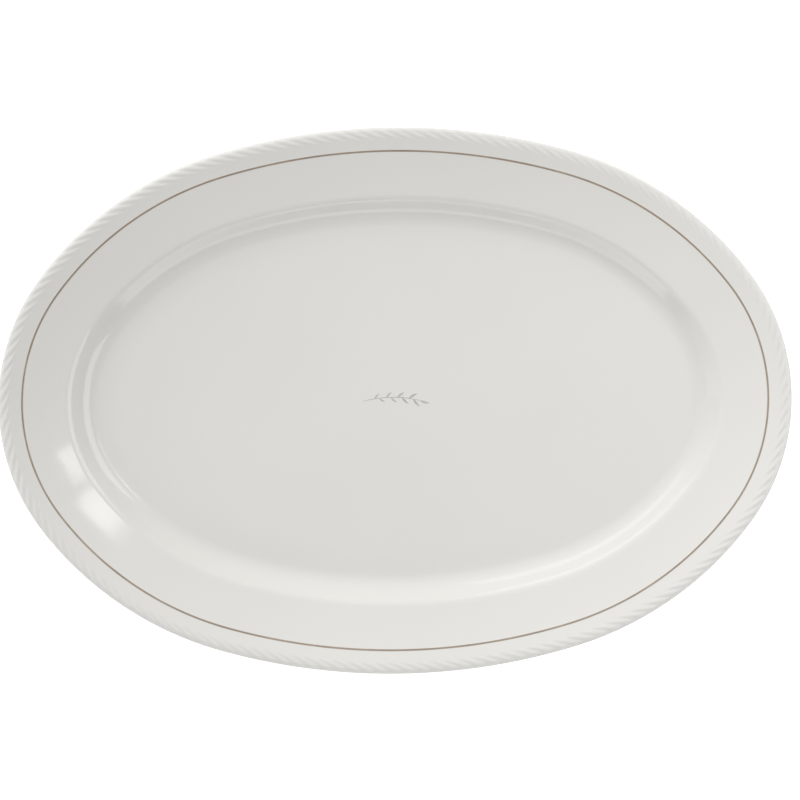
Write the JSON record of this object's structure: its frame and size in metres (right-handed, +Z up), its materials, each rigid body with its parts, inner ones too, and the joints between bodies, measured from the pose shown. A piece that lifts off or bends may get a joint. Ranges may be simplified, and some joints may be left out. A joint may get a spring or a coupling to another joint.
{
  "type": "oval serving platter",
  "caption": "Oval glazed china serving platter with a shallow flat well, a broad sloping rim, a twisted-rope edge, a fine painted line and an oval foot ring.",
  "frame": {"origin": "middle of the platter, on the plane that its foot ring stands on", "axes": "+X along the platter's length, +Y across its width, +Z up out of the well"},
  "size_m": [0.36, 0.248, 0.0235],
  "materials": {
    "clay": "fired clay under the glaze",
    "bare_foot": "bare fired clay, ground flat",
    "glazed_rope": "gloss glaze over moulded relief",
    "glaze": "gloss warm white",
    "line_enamel": "satin brown, fired on",
    "transfer_grey": "pale grey, under the gloss"
  },
  "bodies": {
    "root": {"clay_body": "clay", "foot_ring": "bare_foot", "rope_edge": "glazed_rope", "face_glaze": "glaze", "back_glaze": "glaze", "base_glaze": "glaze", "rim_line": "line_enamel", "centre_flourish": "transfer_grey"}
  },
  "joints": []
}
